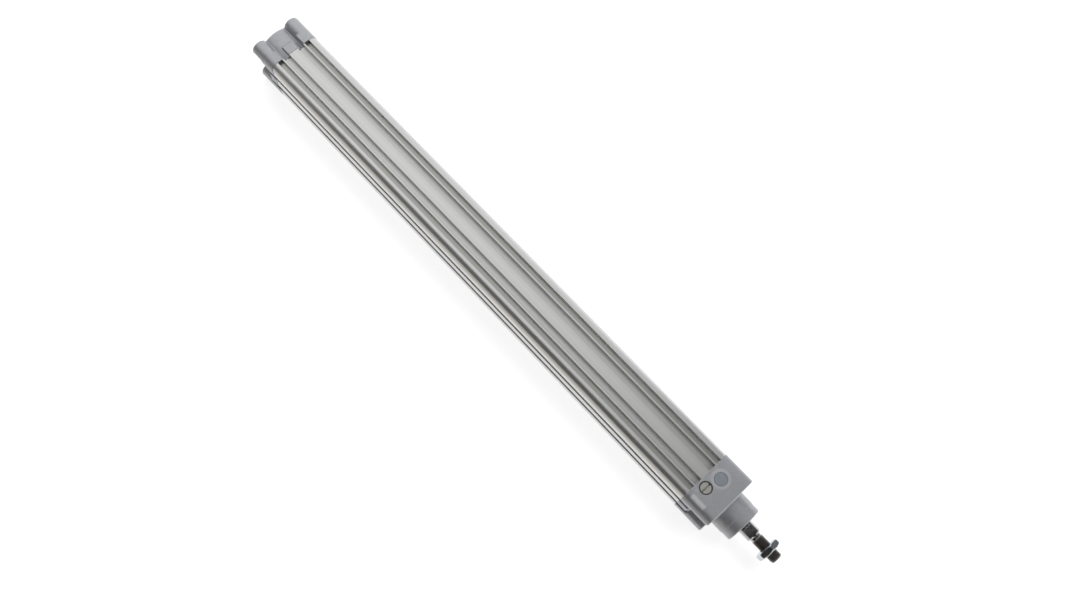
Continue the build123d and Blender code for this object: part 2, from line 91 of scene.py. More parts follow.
lens = bpy.data.cameras.new("studio_camera")
lens.lens = focal_length
lens.sensor_width = sensor_width
lens.clip_start = 0.01
camera = bpy.data.objects.new("studio_camera", lens)
bpy.context.scene.collection.objects.link(camera)
axes = Matrix((picture_right, -picture_down, -looking)).transposed()
camera.matrix_world = Matrix.Translation(stand) @ axes.to_4x4()
bpy.context.scene.camera = camera
bpy.context.scene.view_settings.view_transform = "Standard"
print("camera at", tuple(round(v, 3) for v in camera.location))

# %% [markdown]
# ## A white studio
#
# The photograph is cut out on white. A world that is white for the camera and for mirrored rays gives
# that, and a lower strength for all other rays leaves room for lamps to model the shape. The floor is a
# sheet that still takes the object's shadow: added light, a little more of it far out, lifts it to
# white where nothing shades it.


# %% Helpers for node trees
def new_node(tree, kind, **settings):
    """Adds a node of this kind and sets its plain properties."""
    node = tree.nodes.new(kind)
    for name, value in settings.items():
        setattr(node, name, value)
    return node


def set_inputs(node, **values):
    """Sets a node's inputs by name, with an underscore for each space."""
    for label, value in values.items():
        node.inputs[label.replace("_", " ")].default_value = value
    return node


def join(tree, source, target):
    """Links two sockets."""
    tree.links.new(source, target)


def seen_directly(tree):
    """One where a ray comes from the camera, a mirror or a glass, else nought."""
    path = new_node(tree, "ShaderNodeLightPath")
    first = new_node(tree, "ShaderNodeMath", operation="MAXIMUM")
    second = new_node(tree, "ShaderNodeMath", operation="MAXIMUM")
    join(tree, path.outputs["Is Camera Ray"], first.inputs[0])
    join(tree, path.outputs["Is Glossy Ray"], first.inputs[1])
    join(tree, first.outputs[0], second.inputs[0])
    join(tree, path.outputs["Is Transmission Ray"], second.inputs[1])
    return second.outputs[0]


# %% World
white = (1.0, 1.0, 1.0, 1.0)
strength_for_lighting = 0.1
strength_where_seen = 1.0
world = bpy.data.worlds.new("white_studio")
bpy.context.scene.world = world
world.use_nodes = True
world_tree = world.node_tree
background = set_inputs(world_tree.nodes["Background"], Color=white)
level = new_node(world_tree, "ShaderNodeMapRange")
set_inputs(level, To_Min=strength_for_lighting, To_Max=strength_where_seen)
join(world_tree, seen_directly(world_tree), level.inputs["Value"])
join(world_tree, level.outputs["Result"], background.inputs["Strength"])
print("world strength", strength_for_lighting, "for lighting and", strength_where_seen, "where seen")

# %% Floor
reach = 3.0
low = cad_box[0][2] - 0.0002
floor_mesh = bpy.data.meshes.new("floor")
corners = [(-reach, -reach, low), (reach, -reach, low), (reach, reach, low), (-reach, reach, low)]
floor_mesh.from_pydata(corners, [], [(0, 1, 2, 3)])
floor = bpy.data.objects.new("floor", floor_mesh)
bpy.context.scene.collection.objects.link(floor)
print("floor at", round(low, 4))

# %% Paper on the floor
near_distance, far_distance = 0.8, 2.0
near_glow, far_glow = 0.86, 0.97
paper = bpy.data.materials.new("white_paper")
paper.use_nodes = True
tree = paper.node_tree
shader = set_inputs(
    tree.nodes["Principled BSDF"],
    Base_Color=(0.36, 0.36, 0.36, 1.0),
    Roughness=0.9,
    Specular_IOR_Level=0.1,
    Emission_Color=white,
)
spot = new_node(tree, "ShaderNodeTexCoord")
away = new_node(tree, "ShaderNodeVectorMath", operation="LENGTH")
added = new_node(tree, "ShaderNodeMapRange")
set_inputs(added, From_Min=near_distance, From_Max=far_distance, To_Min=near_glow, To_Max=far_glow)
lift = new_node(tree, "ShaderNodeMath", operation="MULTIPLY")
join(tree, spot.outputs["Object"], away.inputs[0])
join(tree, away.outputs["Value"], added.inputs["Value"])
join(tree, seen_directly(tree), lift.inputs[0])
join(tree, added.outputs["Result"], lift.inputs[1])
join(tree, lift.outputs[0], shader.inputs["Emission Strength"])
floor_mesh.materials.append(paper)
print(paper.name, "glows", near_glow, "near and", far_glow, "far out")


# %% Lamps
def softbox(name, place, aim, width, height, power):
    """A rectangular lamp at a place that shines at a point."""
    lamp = bpy.data.lights.new(name, "AREA")
    lamp.shape = "RECTANGLE"
    lamp.size = width
    lamp.size_y = height
    lamp.energy = power
    holder = bpy.data.objects.new(name, lamp)
    bpy.context.scene.collection.objects.link(holder)
    holder.location = place
    holder.visible_glossy = False
    holder.rotation_euler = (Vector(aim) - Vector(place)).to_track_quat("-Z", "Y").to_euler()


middle = (-0.25, 0.0, 0.0)
softbox("lamp_far_end", (-1.3, 0.45, 1.2), middle, width=0.7, height=0.7, power=8.0)
softbox("lamp_overhead", (0.1, 0.7, 1.4), middle, width=1.2, height=0.8, power=15.0)
print("lamps placed")

# %% [markdown]
# ## Cards that the metal mirrors
#
# Bare metal shows what stands round it, so in an all white room it looks like paper. A photographer
# hangs cards just outside the picture. Here one overhead makes the top fall off from the far end to the
# near end, a dark one beside the barrel and one that darkens towards the rod behind it draw the bands
# along its edges, and a warm one on the floor fills the underside. Two nearly black ones stand where
# only the rod, its thread and the nut mirror them.
#
# The cards are seen by mirrored rays only, so they neither hide the object nor shade it. Each ends where
# the camera's view no longer needs it, so that from other sides the metal mirrors white.


# %% A card
def card(name, span, first_edge, second_edge, levels, fade, colour=(1.0, 1.0, 1.0)):
    """A sheet seen only in reflections. It spans X, between two edges that are given by Y and Z; its
    strength goes evenly from the first level to the second one between the two X of the fade."""
    (start_x, end_x), (y0, z0), (y1, z1) = span, first_edge, second_edge
    corners = [(start_x, y0, z0), (end_x, y0, z0), (end_x, y1, z1), (start_x, y1, z1)]
    mesh = bpy.data.meshes.new(name)
    mesh.from_pydata(corners, [], [(0, 1, 2, 3)])
    sheet = bpy.data.objects.new(name, mesh)
    bpy.context.scene.collection.objects.link(sheet)
    for kind in ("camera", "diffuse", "shadow", "transmission", "volume_scatter"):
        setattr(sheet, "visible_" + kind, False)
    material = bpy.data.materials.new(name)
    material.use_nodes = True
    tree = material.node_tree
    tree.nodes.clear()
    place = new_node(tree, "ShaderNodeTexCoord")
    parts = new_node(tree, "ShaderNodeSeparateXYZ")
    grade = new_node(tree, "ShaderNodeMapRange")
    set_inputs(grade, From_Min=fade[0], From_Max=fade[1], To_Min=levels[0], To_Max=levels[1])
    glow = set_inputs(new_node(tree, "ShaderNodeEmission"), Color=(*colour, 1.0))
    out = new_node(tree, "ShaderNodeOutputMaterial")
    join(tree, place.outputs["Object"], parts.inputs[0])
    join(tree, parts.outputs["X"], grade.inputs["Value"])
    join(tree, grade.outputs["Result"], glow.inputs["Strength"])
    join(tree, glow.outputs[0], out.inputs["Surface"])
    mesh.materials.append(material)
    print(name, "goes from level", levels[0], "to", levels[1])


# %% Six cards
just_above_floor = low + 0.0005
bluish = (0.94, 0.96, 1.0)
warm = (1.0, 0.965, 0.91)
card("card_overhead", (-3.0, 2.0), (-0.6, 1.6), (1.8, 1.6), levels=(0.55, 0.93), fade=(0.2, -0.9))
card("card_past_rod", (0.08, 0.9), (-0.6, 1.5), (1.3, 1.5), levels=(0.2, 0.012), fade=(0.08, 0.14))
card("card_beside", (-1.6, 0.4), (-1.2, 0.0), (-0.7, 1.5), levels=(0.085, 0.115), fade=(-0.3, -0.5))
card("card_beside_rod", (0.07, 0.5), (-1.17, 0.0), (-0.67, 1.5), levels=(0.04, 0.006), fade=(0.07, 0.12))
card(
    "card_behind",
    (-1.6, 0.6),
    (1.4, 0.0),
    (1.8, 1.6),
    levels=(0.12, 1.0),
    fade=(0.08, -0.25),
    colour=bluish,
)
card(
    "card_below",
    (-2.0, 2.0),
    (-1.2, just_above_floor),
    (-0.05, just_above_floor),
    levels=(0.66, 0.78),
    fade=(0.0, -1.45),
    colour=warm,
)

# %% [markdown]
# ## Effects that several finishes share
#
# Each effect is a small group of shader nodes with its own inputs, so that a finish says only how much
# of it it wants. All read the object's own coordinates in metres, so a pattern keeps its real scale and
# stays on the metal when the piece moves.


# %% A group with named sockets
def effect(name, inputs, outputs):
    """Makes an empty node group; inputs are name to default value, outputs are name to socket type."""
    group = bpy.data.node_groups.new(name, "ShaderNodeTree")
    for label, value in inputs.items():
        socket = group.interface.new_socket(label, in_out="INPUT", socket_type="NodeSocketFloat")
        socket.default_value = value
    for label, kind in outputs.items():
        group.interface.new_socket(label, in_out="OUTPUT", socket_type=kind)
    start = new_node(group, "NodeGroupInput")
    end = new_node(group, "NodeGroupOutput")
    return group, start, end


def place_effect(tree, group, **values):
    """Puts a group into a material and sets its inputs."""
    node = new_node(tree, "ShaderNodeGroup")
    node.node_tree = group
    return set_inputs(node, **values)


# %% Drawn lines: noise pulled long in X
drawn_lines, start, end = effect(
    "drawn_lines", {"Across": 900.0, "Along": 6.0}, {"Mask": "NodeSocketFloat", "Fine": "NodeSocketFloat"}
)
place = new_node(drawn_lines, "ShaderNodeTexCoord")
parts = new_node(drawn_lines, "ShaderNodeSeparateXYZ")
join(drawn_lines, place.outputs["Object"], parts.inputs[0])
pulled = new_node(drawn_lines, "ShaderNodeCombineXYZ")
for axis, socket in ((0, "Along"), (1, "Across"), (2, "Across")):
    stretch = new_node(drawn_lines, "ShaderNodeMath", operation="MULTIPLY")
    join(drawn_lines, parts.outputs[axis], stretch.inputs[0])
    join(drawn_lines, start.outputs[socket], stretch.inputs[1])
    join(drawn_lines, stretch.outputs[0], pulled.inputs[axis])
for label, scale, detail in (("Mask", 1.0, 3.0), ("Fine", 5.0, 2.0)):
    noise = set_inputs(new_node(drawn_lines, "ShaderNodeTexNoise"), Scale=scale, Detail=detail)
    join(drawn_lines, pulled.outputs[0], noise.inputs["Vector"])
    join(drawn_lines, noise.outputs["Fac"], end.inputs[label])

# %% Grain: even noise at a given size, coarse and fine
grain, start, end = effect(
    "grain", {"Fineness": 900.0}, {"Coarse": "NodeSocketFloat", "Fine": "NodeSocketFloat"}
)
place = new_node(grain, "ShaderNodeTexCoord")
for label, ratio, detail in (("Coarse", 0.12, 2.0), ("Fine", 1.0, 3.0)):
    size = new_node(grain, "ShaderNodeMath", operation="MULTIPLY")
    size.inputs[1].default_value = ratio
    join(grain, start.outputs["Fineness"], size.inputs[0])
    noise = set_inputs(new_node(grain, "ShaderNodeTexNoise"), Detail=detail)
    join(grain, place.outputs["Object"], noise.inputs["Vector"])
    join(grain, size.outputs[0], noise.inputs["Scale"])
    join(grain, noise.outputs["Fac"], end.inputs[label])

# %% Box mask: one inside a box, nought outside
box_inside, start, end = effect(
    "box_inside",
    {"Middle X": 0.0, "Middle Y": 0.0, "Middle Z": 0.0, "Half X": 0.01, "Half Y": 0.01, "Half Z": 0.01},
    {"Mask": "NodeSocketFloat"},
)
place = new_node(box_inside, "ShaderNodeTexCoord")
parts = new_node(box_inside, "ShaderNodeSeparateXYZ")
join(box_inside, place.outputs["Object"], parts.inputs[0])
product = None
for axis in "XYZ":
    near = new_node(box_inside, "ShaderNodeMath", operation="COMPARE")
    join(box_inside, parts.outputs[axis], near.inputs[0])
    join(box_inside, start.outputs["Middle " + axis], near.inputs[1])
    join(box_inside, start.outputs["Half " + axis], near.inputs[2])
    if product is None:
        product = near
        continue
    both = new_node(box_inside, "ShaderNodeMath", operation="MULTIPLY")
    join(box_inside, product.outputs[0], both.inputs[0])
    join(box_inside, near.outputs[0], both.inputs[1])
    product = both
join(box_inside, product.outputs[0], end.inputs["Mask"])


def within_box(tree, centre, half):
    """The box mask for a centre and half sizes in metres."""
    node = place_effect(tree, box_inside)
    for axis, at, size in zip("XYZ", centre, half):
        node.inputs["Middle " + axis].default_value = at
        node.inputs["Half " + axis].default_value = size
    return node.outputs["Mask"]


def within_ball(tree, centre, radius, soft):
    """One inside a ball, nought outside, with a soft stretch between; all in metres."""
    place = new_node(tree, "ShaderNodeTexCoord")
    away = new_node(tree, "ShaderNodeVectorMath", operation="DISTANCE")
    away.inputs[1].default_value = centre
    join(tree, place.outputs["Object"], away.inputs[0])
    return spread(tree, away.outputs["Value"], 1.0, 0.0, radius - soft, radius + soft)


def strongest(tree, *masks):
    """The largest of several masks."""
    result = masks[0]
    for mask in masks[1:]:
        node = new_node(tree, "ShaderNodeMath", operation="MAXIMUM")
        join(tree, result, node.inputs[0])
        join(tree, mask, node.inputs[1])
        result = node.outputs[0]
    return result


# %% Crevices: how much of the sky near a point is covered
crevice, start, end = effect("crevice", {"Distance": 0.0015}, {"Mask": "NodeSocketFloat"})
cover = new_node(crevice, "ShaderNodeAmbientOcclusion", samples=6)
join(crevice, start.outputs["Distance"], cover.inputs["Distance"])
covered = set_inputs(new_node(crevice, "ShaderNodeMapRange"), From_Min=0.75, From_Max=0.3)
join(crevice, cover.outputs["AO"], covered.inputs["Value"])
join(crevice, covered.outputs["Result"], end.inputs["Mask"])

# %% Edges: where a rounded normal departs from the true one; its mask marks wear and a painted highlight
edge_wear_and_highlight, start, end = effect(
    "edge_wear_and_highlight", {"Width": 0.0004, "Amount": 6.0}, {"Mask": "NodeSocketFloat", "Normal": "NodeSocketVector"}
)
rounded = new_node(edge_wear_and_highlight, "ShaderNodeBevel", samples=8)
join(edge_wear_and_highlight, start.outputs["Width"], rounded.inputs["Radius"])
surface = new_node(edge_wear_and_highlight, "ShaderNodeNewGeometry")
agreement = new_node(edge_wear_and_highlight, "ShaderNodeVectorMath", operation="DOT_PRODUCT")
join(edge_wear_and_highlight, rounded.outputs[0], agreement.inputs[0])
join(edge_wear_and_highlight, surface.outputs["True Normal"], agreement.inputs[1])
departure = new_node(edge_wear_and_highlight, "ShaderNodeMath", operation="SUBTRACT")
departure.inputs[0].default_value = 1.0
join(edge_wear_and_highlight, agreement.outputs["Value"], departure.inputs[1])
amount = new_node(edge_wear_and_highlight, "ShaderNodeMath", operation="MULTIPLY", use_clamp=True)
join(edge_wear_and_highlight, departure.outputs[0], amount.inputs[0])
join(edge_wear_and_highlight, start.outputs["Amount"], amount.inputs[1])
join(edge_wear_and_highlight, amount.outputs[0], end.inputs["Mask"])
join(edge_wear_and_highlight, rounded.outputs[0], end.inputs["Normal"])
print("effects:", [group.name for group in (drawn_lines, grain, box_inside, crevice, edge_wear_and_highlight)])


# %% Steps that finishes are made of
def new_finish(name, metallic):
    """A material with its Principled shader; what is the same all over is set on the shader itself."""
    material = bpy.data.materials.new(name)
    material.use_nodes = True
    shader = set_inputs(material.node_tree.nodes["Principled BSDF"], Metallic=metallic)
    return material, material.node_tree, shader


def spread(tree, source, low_value, high_value, start_at=0.3, end_at=0.7):
    """Maps a mask from start_at to end_at onto a range of values."""
    node = new_node(tree, "ShaderNodeMapRange")
    set_inputs(node, From_Min=start_at, From_Max=end_at, To_Min=low_value, To_Max=high_value)
    join(tree, source, node.inputs["Value"])
    return node.outputs["Result"]


def blend_colours(tree, mask, first, second):
    """A colour that goes from the first to the second by a mask; a colour may be a socket."""
    node = new_node(tree, "ShaderNodeMix", data_type="RGBA")
    join(tree, mask, node.inputs[0])
    for socket, colour in ((node.inputs[6], first), (node.inputs[7], second)):
        if isinstance(colour, tuple):
            socket.default_value = (*colour, 1.0)
        else:
            join(tree, colour, socket)
    return node.outputs[2]


def relief(tree, height, depth, strength=1.0, normal=None):
    """A bump from a height mask: depth in metres where the mask goes from nought to one."""
    node = set_inputs(new_node(tree, "ShaderNodeBump"), Strength=strength, Distance=depth)
    join(tree, height, node.inputs["Height"])
    if normal is not None:
        join(tree, normal, node.inputs["Normal"])
    return node.outputs["Normal"]


# %% [markdown]
# ## Anodised barrel
#
# The barrel is pressed through a die, so every flaw of the die runs along it as a line. Anodising turns
# that into a satin grey that mirrors light only as a soft band. A noise pulled long in X gives the
# lines, both as a slight change of grey and as a shallow relief that spreads highlights across. The
# channels get a painted shade towards their corners. The sensor slots get a painted shade under their
# mouths, and their undercuts a painted light: a lighter grey that stands in for the light bounced in.

# %% Where the sensor slots are
slot_middle, slot_floor = 0.01375, 0.0208
slot_half_width, mouth_half_width, slot_half_height = 0.0029, 0.0022, 0.0016
barrel_middle, barrel_half = -0.26, 0.24


def inside_slots(tree, half_width):
    """One inside any of the eight sensor slots, up to this distance from the slot's middle plane."""
    boxes = []
    for side in (-1.0, 1.0):
        for top in (-1.0, 1.0):
            on_flank = (barrel_middle, side * slot_floor, top * slot_middle)
            on_face = (barrel_middle, side * slot_middle, top * slot_floor)
            boxes.append(within_box(tree, on_flank, (barrel_half, slot_half_height, half_width)))
            boxes.append(within_box(tree, on_face, (barrel_half, half_width, slot_half_height)))
    return strongest(tree, *boxes)


# %% Anodised aluminium
anodised, tree, shader = new_finish("satin_anodised", 1.0)
lines = place_effect(tree, drawn_lines, Across=600.0, Along=0.6)
shade = place_effect(tree, crevice, Distance=0.006)
dark_line, light_line = (0.64, 0.64, 0.63), (0.72, 0.72, 0.71)
painted_corner_shade, painted_undercut_light, painted_slot_shade = (0.36, 0.36, 0.35), (0.88, 0.88, 0.86), (0.43, 0.43, 0.41)
grey = blend_colours(tree, spread(tree, lines.outputs["Mask"], 0.0, 1.0), dark_line, light_line)
# The channels' corners get a painted shade: the crevice mask darkens the grey towards them.
grey = blend_colours(tree, shade.outputs["Mask"], grey, painted_corner_shade)
# The slots' undercuts get a painted light: a lighter grey that stands in for the light bounced into them.
grey = blend_colours(tree, inside_slots(tree, slot_half_width), grey, painted_undercut_light)
# The slots' mouths get a painted shade: a darker grey inside them.
grey = blend_colours(tree, inside_slots(tree, mouth_half_width), grey, painted_slot_shade)
join(tree, grey, shader.inputs["Base Color"])
join(tree, spread(tree, lines.outputs["Fine"], 0.29, 0.38), shader.inputs["Roughness"])
join(tree, relief(tree, lines.outputs["Fine"], 0.00001, 0.15), shader.inputs["Normal"])
print(anodised.name, "has", len(tree.nodes), "nodes")

# %% [markdown]
# ## Cast caps
#
# The caps are die castings under a thin grey coat full of metal flakes, so the shader lies between metal
# and paint: it softly mirrors the dark card on its lower side and keeps a body colour elsewhere. The
# casting's skin shows as a fine uneven grain. Edges are lighter, partly rubbed and partly a painted
# highlight, and inner corners carry a painted shade. The port's boss and the slope at the end of each
# pad are lighter; a ball and a box in the object's own coordinates say where. The far cap's port is on
# +Y, so there Y and Z change places.

# %% Casting under its coat
casting, tree, shader = new_finish("flaked_casting", 0.8)
skin = place_effect(tree, grain, Fineness=3200.0)
edges = place_effect(tree, edge_wear_and_highlight, Width=0.0004, Amount=5.0)
shade = place_effect(tree, crevice, Distance=0.0035)
dark_coat, light_coat = (0.425, 0.43, 0.452), (0.468, 0.473, 0.495)
boss_tone, slope_tone = (0.545, 0.55, 0.573), (0.74, 0.74, 0.76)
worn_and_highlit_tone, painted_corner_shade = (0.58, 0.585, 0.605), (0.10, 0.10, 0.11)
boss_radius, boss_softness = 0.0073, 0.0003
slope = strongest(
    tree,
    within_box(tree, (-0.01635, -0.0174, 0.0226), (0.0062, 0.0019, 0.0009)),
    within_box(tree, (-0.50265, 0.0226, -0.0174), (0.0062, 0.0009, 0.0019)),
)
boss = strongest(
    tree,
    within_ball(tree, (-0.0164, 0.0058, 0.0233), boss_radius, boss_softness),
    within_ball(tree, (-0.5026, 0.0233, 0.0058), boss_radius, boss_softness),
)
coat = blend_colours(tree, spread(tree, skin.outputs["Coarse"], 0.0, 1.0), dark_coat, light_coat)
coat = blend_colours(tree, boss, coat, boss_tone)
coat = blend_colours(tree, slope, coat, slope_tone)
# Edges are lighter, partly rubbed and partly a painted highlight.
coat = blend_colours(tree, edges.outputs["Mask"], coat, worn_and_highlit_tone)
# Inner corners get a painted shade: the crevice mask blends in a near black.
coat = blend_colours(tree, shade.outputs["Mask"], coat, painted_corner_shade)
join(tree, coat, shader.inputs["Base Color"])
join(tree, spread(tree, skin.outputs["Fine"], 0.36, 0.48), shader.inputs["Roughness"])
normal = relief(tree, skin.outputs["Fine"], 0.00005, 0.45, edges.outputs["Normal"])
join(tree, normal, shader.inputs["Normal"])
print(casting.name, "has", len(tree.nodes), "nodes")

# %% [markdown]
# ## Polished and plated steel
#
# The rod is hard chromed and mirrors its surroundings, but its thread is cut after that, so there the
# bare steel shows, brownish and darker deep in the grooves. The nut and the screws are zinc plated: a
# slightly blue, softer mirror with fine uneven patches; their edges are lighter, partly worn and partly a
# painted highlight, and their crevices carry a painted shade.

# %% Chromed rod
chrome, tree, shader = new_finish("hard_chrome", 1.0)
patches = place_effect(tree, grain, Fineness=700.0)
edges = place_effect(tree, edge_wear_and_highlight, Width=0.0003, Amount=4.0)
crevice_darkening = place_effect(tree, crevice, Distance=0.0008)
dark_chrome, light_chrome = (0.50, 0.50, 0.51), (0.58, 0.58, 0.58)
thread_tone, groove_tone = (0.15, 0.138, 0.13), (0.05, 0.04, 0.035)
thread_middle, thread_half, thread_reach = 0.041, 0.0098, 0.008
thread_roughness = 0.1
tone = blend_colours(tree, spread(tree, patches.outputs["Coarse"], 0.0, 1.0), dark_chrome, light_chrome)
cut = within_box(tree, (thread_middle, 0.0, 0.0), (thread_half, thread_reach, thread_reach))
steel = blend_colours(tree, cut, tone, thread_tone)
deep_in_grooves = new_node(tree, "ShaderNodeMath", operation="MULTIPLY")
join(tree, crevice_darkening.outputs["Mask"], deep_in_grooves.inputs[0])
join(tree, cut, deep_in_grooves.inputs[1])
# Deep in the thread's grooves the colour is darker still, by the crevice mask.
join(tree, blend_colours(tree, deep_in_grooves.outputs[0], steel, groove_tone), shader.inputs["Base Color"])
rough = new_node(tree, "ShaderNodeMath", operation="MULTIPLY_ADD")
rough.inputs[1].default_value = thread_roughness
join(tree, cut, rough.inputs[0])
join(tree, spread(tree, patches.outputs["Fine"], 0.07, 0.15), rough.inputs[2])
join(tree, rough.outputs[0], shader.inputs["Roughness"])
join(tree, edges.outputs["Normal"], shader.inputs["Normal"])
print(chrome.name, "has", len(tree.nodes), "nodes")

# %% Plated steel
plated, tree, shader = new_finish("plated_steel", 1.0)
patches = place_effect(tree, grain, Fineness=1500.0)
edges = place_effect(tree, edge_wear_and_highlight, Width=0.0007, Amount=6.0)
crevice_darkening = place_effect(tree, crevice, Distance=0.0012)
dark_zinc, light_zinc = (0.50, 0.53, 0.56), (0.62, 0.65, 0.68)
worn_and_highlit_tone, painted_corner_shade = (0.90, 0.92, 0.95), (0.12, 0.11, 0.10)
tone = blend_colours(tree, spread(tree, patches.outputs["Coarse"], 0.0, 1.0), dark_zinc, light_zinc)
# Edges are bluish white, partly worn and partly a painted highlight.
tone = blend_colours(tree, edges.outputs["Mask"], tone, worn_and_highlit_tone)
# Crevices get a painted shade: the crevice mask darkens the zinc.
tone = blend_colours(tree, crevice_darkening.outputs["Mask"], tone, painted_corner_shade)
join(tree, tone, shader.inputs["Base Color"])
join(tree, spread(tree, patches.outputs["Fine"], 0.13, 0.24), shader.inputs["Roughness"])
normal = relief(tree, patches.outputs["Fine"], 0.00002, 0.4, edges.outputs["Normal"])
join(tree, normal, shader.inputs["Normal"])
print(plated.name, "has", len(tree.nodes), "nodes")


# %% [markdown]
# ## Pieces that hardly show
#
# Seals, the bush, the magnet and the piston sit inside. They still get a finish of their own, because
# the part can be taken apart. One helper makes them: two tones by a grain, and a roughness that varies.
# The port plugs and the cushion screws do show, but they are as plain, so they are made in the same way.


# %% Plain finishes with grain
def grained(name, metallic, dark, light, fineness, rough, depth):
    """A finish of two tones by the coarse grain, a painted shade in crevices and a relief from the grain."""
    material, tree, shader = new_finish(name, metallic)
    noise = place_effect(tree, grain, Fineness=fineness)
    crevice_darkening = place_effect(tree, crevice, Distance=0.0015)
    mask = spread(tree, noise.outputs["Coarse"], 0.0, 1.0)
    tone = blend_colours(tree, mask, dark, light)
    # Crevices get a painted shade: a fraction of the dark tone blended in by the crevice mask.
    deep = tuple(value * 0.15 for value in dark)
    join(tree, blend_colours(tree, crevice_darkening.outputs["Mask"], tone, deep), shader.inputs["Base Color"])
    join(tree, spread(tree, noise.outputs["Fine"], *rough), shader.inputs["Roughness"])
    join(tree, relief(tree, noise.outputs["Fine"], depth, 0.5), shader.inputs["Normal"])
    return material


turned = grained("turned_aluminium", 1.0, (0.60, 0.60, 0.61), (0.72, 0.72, 0.72), 2000.0, (0.25, 0.4), 2e-5)
bronze = grained("sintered_bronze", 1.0, (0.52, 0.34, 0.17), (0.66, 0.46, 0.24), 5000.0, (0.35, 0.55), 4e-5)
nickelled = grained("nickelled_brass", 1.0, (0.58, 0.57, 0.53), (0.70, 0.69, 0.64), 1800.0, (0.2, 0.34), 2e-5)
magnet = grained("dark_magnet", 0.3, (0.09, 0.09, 0.10), (0.15, 0.15, 0.16), 4000.0, (0.5, 0.7), 5e-5)
rubber = grained("seal_rubber", 0.0, (0.018, 0.018, 0.018), (0.04, 0.04, 0.04), 3000.0, (0.5, 0.7), 4e-5)
plastic = grained("dark_plastic", 0.0, (0.022, 0.022, 0.025), (0.04, 0.04, 0.044), 2500.0, (0.35, 0.5), 3e-5)
guide = grained("pale_guide", 0.0, (0.44, 0.37, 0.26), (0.55, 0.47, 0.34), 2500.0, (0.4, 0.55), 3e-5)
plug = grained("blue_grey_plug", 0.0, (0.203, 0.23, 0.26), (0.232, 0.262, 0.294), 2200.0, (0.38, 0.5), 3e-5)

# %% Each node gets the finish of its slot
finishes = {
    "anodised_aluminium": anodised,
    "cap_casting": casting,
    "rod_chrome": chrome,
    "bright_steel": plated,
    "piston_aluminium": turned,
    "bronze": bronze,
    "brass": nickelled,
    "magnet": magnet,
    "black_rubber": rubber,
    "black_plastic": plastic,
    "guide_plastic": guide,
    "plug_plastic": plug,
}
for subpart in frame["record"]["subparts"]:
    solid = nodes[subpart["node"]]
    for slot in solid.material_slots:
        slot.material = finishes[subpart["material_slot"]]
print("finishes:", sorted(finishes))


# %% [markdown]
# ## The rod with its thread
#
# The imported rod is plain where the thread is. A thread is a surface whose radius depends on the angle
# as well as the place along the axis, so one grid of both can hold the whole rod: shoulder, wrench
# flats, undercut, thread and chamfer. That is lighter and cleaner than cutting a helix out of a solid.


# %% Surfaces of varying radius
def grid_piece(name, grids, body, material):
    """Closes each grid of rings (stations x angles x 3) with a point at each end; all make one piece."""
    stations, angles, _ = grids[0].shape
    row = np.arange(stations - 1)[:, None] * angles
    column = np.arange(angles)[None, :]
    following = (column + 1) % angles
    quads = np.stack(
        [row + column, row + following, row + angles + following, row + angles + column], axis=-1
    ).reshape(-1, 4)
    turn = np.arange(angles)
    turn_next = (turn + 1) % angles
    base = (stations - 1) * angles
    foot = np.stack([np.full(angles, stations * angles), turn_next, turn], axis=1)
    head = np.stack([np.full(angles, stations * angles + 1), base + turn, base + turn_next], axis=1)
    points, faces = [], []
    for count, grid in enumerate(grids):
        shift = count * (stations * angles + 2)
        whole = np.concatenate([grid.reshape(-1, 3), [grid[0].mean(axis=0), grid[-1].mean(axis=0)]])
        corners = whole[quads]
        across = np.cross(corners[:, 2] - corners[:, 0], corners[:, 3] - corners[:, 1])
        outward = ((corners.mean(axis=1) - whole.mean(axis=0)) * across).sum() > 0
        step = 1 if outward else -1
        points.append(whole)
        faces += (quads[:, ::step] + shift).tolist()
        faces += (foot[:, ::step] + shift).tolist()
        faces += (head[:, ::step] + shift).tolist()
    every = np.concatenate(points)
    mesh = bpy.data.meshes.new(name)
    mesh.from_pydata(every.tolist(), [], faces)
    mesh.update()
    mesh.shade_smooth()
    mesh.set_sharp_from_angle(angle=math.radians(28.0))
    mesh.materials.append(material)
    piece = bpy.data.objects.new(name, mesh)
    bpy.context.scene.collection.objects.link(piece)
    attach(piece, body)
    print(name, "has", len(every), "points")
    return piece


def thread_depth(along, angle, pitch, flat=0.2):
    """How deep a 60 degree thread is: a triangle wave of (along / pitch - angle / turn), with flats."""
    phase = (along / pitch - angle / (2.0 * np.pi)) % 1.0
    wave = np.abs(2.0 * phase - 1.0)
    return np.clip((wave - flat) / (1.0 - 2.0 * flat), 0.0, 1.0)


# %% The rod's line
mm = 0.001
shoulder = 28.8
tip = 50.8
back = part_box("piston_rod")[0][0] / mm
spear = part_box("front_cushion_spear")[1][0] / mm
rod_radius, stem_radius, undercut_radius = 6.0, 5.0, 4.4
flats_start, flats_end = 20.5, shoulder - 1.1
thread_start, thread_end = shoulder + 2.0, tip - 1.3
crest_radius, groove_depth, rod_pitch = 4.9, 0.68, 1.25
stations = [
    (back, 4.5),
    (back + 0.5, stem_radius),
    (spear, stem_radius),
    (spear, rod_radius),
    (flats_start, rod_radius),
    (flats_start, rod_radius),
    (flats_start + 0.1, rod_radius),
    (flats_end, rod_radius),
    (flats_end + 0.1, rod_radius),
    (shoulder, 5.0),
    (shoulder, undercut_radius),
    (thread_start, undercut_radius),
]
first_flat, last_flat = 5, 9
stations += [(x, crest_radius) for x in np.linspace(thread_start, thread_end, 240)]
stations += [(thread_end, crest_radius), (tip - 0.3, 4.1), (tip, 3.6)]
along, radius = np.array(stations).T
print("the rod's line has", len(along), "stations, from", round(back, 1), "to", tip, "mm")

